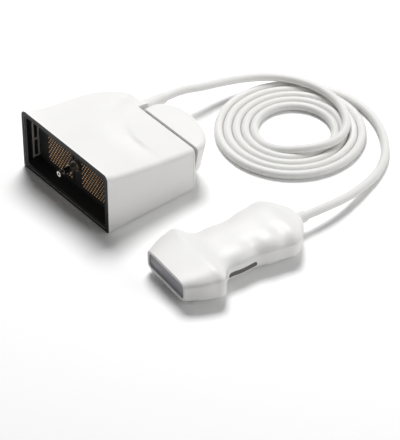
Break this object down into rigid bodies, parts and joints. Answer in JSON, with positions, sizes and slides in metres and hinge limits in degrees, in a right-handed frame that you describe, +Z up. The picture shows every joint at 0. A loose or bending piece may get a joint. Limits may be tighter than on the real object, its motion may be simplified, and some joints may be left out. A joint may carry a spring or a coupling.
{
  "type": "ultrasound transducer probe",
  "caption": "Linear-array ultrasound probe with its cable coiled and an edge-type connector with a hollow contact mouth and a turning lock lever.",
  "frame": {"origin": "on the table, under the middle of the box round the connector and the handpiece, the free cable left out", "axes": "+Z up from the table, +Y from the handpiece to the connector, +X from the mouth and the lens back towards the cable"},
  "size_m": [0.254, 0.2153, 0.0525],
  "materials": {
    "white_plastic": "fine satin moulding, warm white",
    "black_plastic": "matt black moulding",
    "contact_plastic": "dark glass-filled moulding",
    "spring_steel": "rolled spring strip",
    "screw_steel": "plated screw",
    "shaft_steel": "ground stainless rod",
    "bushing_metal": "turned bearing metal",
    "circuit_board": "solder-masked laminate",
    "header_plastic": "black socket strip",
    "coax_bundle": "bundle of fine coaxial leads",
    "cable_jacket": "smooth soft jacket, warm white",
    "ferrule_brass": "crimped sleeve",
    "boot_rubber": "soft strain relief, warm white",
    "marker_plastic": "dark inlay",
    "lens_rubber": "smooth silicone lens, grey",
    "matching_resin": "filled resin layer",
    "element_ceramic": "diced piezo ceramic with metal film",
    "backing_rubber": "loaded damping block",
    "frame_aluminium": "milled",
    "flex_film": "polyimide flex film"
  },
  "bodies": {
    "base": {"connector_hood": "white_plastic", "rear_tray": "white_plastic", "handle_upper_shell": "white_plastic", "handle_lower_shell": "white_plastic", "tray_screws": "screw_steel", "board_screws": "screw_steel", "mouth_liner": "black_plastic", "contact_panel": "black_plastic", "contact_block_left": "contact_plastic", "contact_block_right": "contact_plastic", "earth_spring_left": "spring_steel", "earth_spring_right": "spring_steel", "front_bushing": "bushing_metal", "rear_bushing": "bushing_metal", "interface_board": "circuit_board", "main_board": "circuit_board", "termination_board": "circuit_board", "board_header_left": "header_plastic", "board_header_right": "header_plastic", "connector_coax_fan": "coax_bundle", "probe_coax_fan": "coax_bundle", "connector_cable_tail": "cable_jacket", "probe_cable_tail": "cable_jacket", "cable_lead_in": "cable_jacket", "cable_coil": "cable_jacket", "cable_lead_out": "cable_jacket", "cable_ferrule": "ferrule_brass", "probe_ferrule": "ferrule_brass", "connector_boot": "boot_rubber", "probe_boot": "boot_rubber", "orientation_marker": "marker_plastic", "lens": "lens_rubber", "matching_layer": "matching_resin", "element_array": "element_ceramic", "backing_block": "backing_rubber", "array_frame": "frame_aluminium", "flex_circuit_upper": "flex_film", "flex_circuit_lower": "flex_film"},
    "lock": {"lock_lever": "white_plastic", "lock_shaft": "shaft_steel", "lock_tip": "shaft_steel", "shaft_clip": "spring_steel", "wave_washer": "spring_steel", "lever_set_screw": "screw_steel"}
  },
  "joints": [
    {"name": "lock_turn", "type": "hinge", "parent": "base", "child": "lock", "pos_m": [0.0286, 0.0557, 0.02625], "axis": [-1, 0, 0], "range_deg": [0, 90]}
  ]
}
